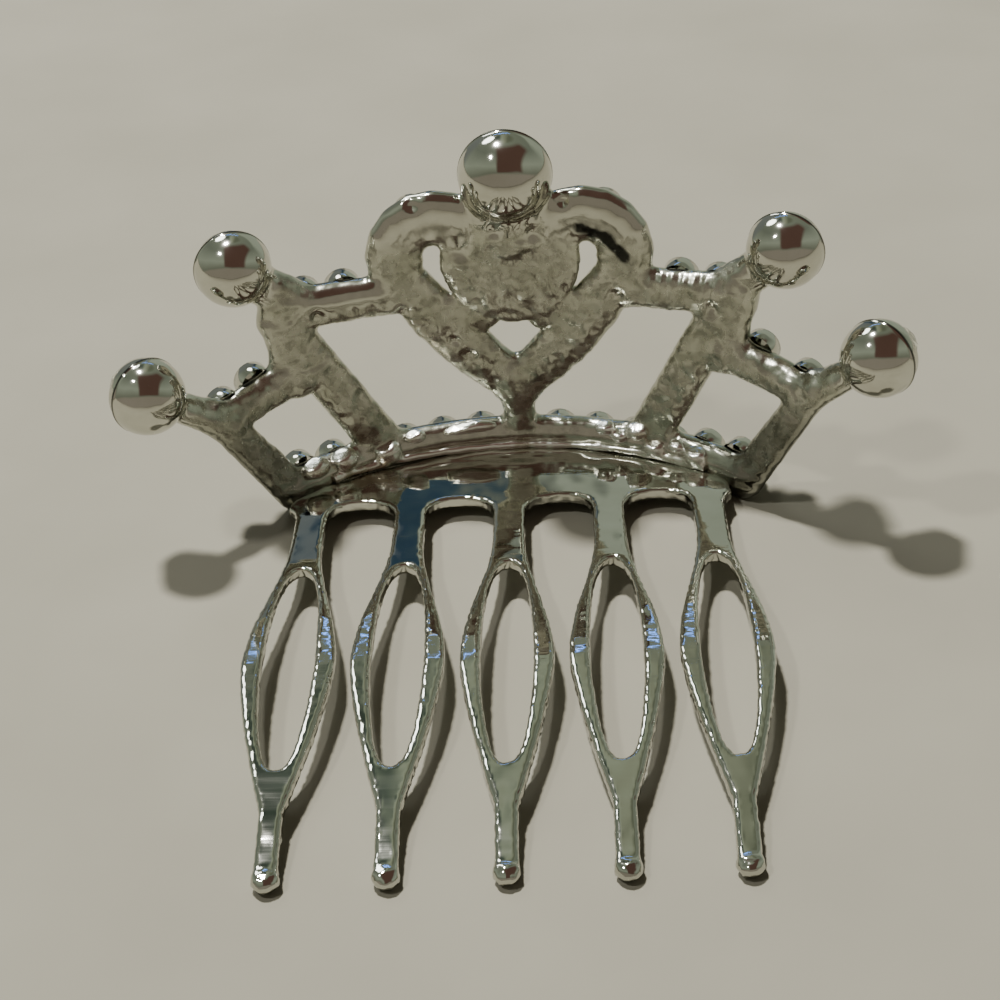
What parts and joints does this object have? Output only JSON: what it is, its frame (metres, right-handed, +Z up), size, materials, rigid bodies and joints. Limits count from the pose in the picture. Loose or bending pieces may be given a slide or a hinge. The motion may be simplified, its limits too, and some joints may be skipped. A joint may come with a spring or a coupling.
{
  "type": "mini tiara hair comb",
  "caption": "Small silver-tone tiara with a heart, ball cups and clear round stones, soldered to a slim metal hair comb that holds it in the hair.",
  "frame": {"origin": "middle of the whole part's box in X and Y, at the height of the surface that it rests on", "axes": "+Z up, the height of the standing tiara; -Y to the front, where the stones face; +Y along the comb's teeth to their tips; X across the teeth, along the band"},
  "size_m": [0.0554, 0.05, 0.0266],
  "materials": {
    "frame_metal": "polished silver-tone plating, rough cast back",
    "comb_metal": "polished steel with fine cross scratches",
    "large_stones": "clear cut glass, foiled behind",
    "small_stones": "clear cut glass, foiled behind"
  },
  "bodies": {
    "root": {"tiara_frame": "frame_metal", "comb": "comb_metal", "point_stone_1": "large_stones", "point_stone_2": "large_stones", "point_stone_3": "large_stones", "point_stone_4": "large_stones", "point_stone_5": "large_stones", "heart_stone": "large_stones", "heart_ring_stone_1": "small_stones", "heart_ring_stone_2": "small_stones", "heart_ring_stone_3": "small_stones", "heart_ring_stone_4": "small_stones", "heart_ring_stone_5": "small_stones", "heart_ring_stone_6": "small_stones", "heart_ring_stone_7": "small_stones", "heart_ring_stone_8": "small_stones", "heart_ring_stone_9": "small_stones", "heart_ring_stone_10": "small_stones", "heart_ring_stone_11": "small_stones", "heart_ring_stone_12": "small_stones", "heart_ring_stone_13": "small_stones", "bar_stone_1": "small_stones", "bar_stone_2": "small_stones", "bar_stone_3": "small_stones", "bar_stone_4": "small_stones", "stem_stone_1": "small_stones", "stem_stone_2": "small_stones", "stem_stone_3": "small_stones", "stem_stone_4": "small_stones", "band_stone_1": "small_stones", "band_stone_2": "small_stones", "band_stone_3": "small_stones", "band_stone_4": "small_stones", "band_stone_5": "small_stones", "band_stone_6": "small_stones", "band_stone_7": "small_stones", "band_stone_8": "small_stones", "band_stone_9": "small_stones", "band_stone_10": "small_stones", "band_stone_11": "small_stones", "band_stone_12": "small_stones", "band_stone_13": "small_stones"}
  },
  "joints": []
}
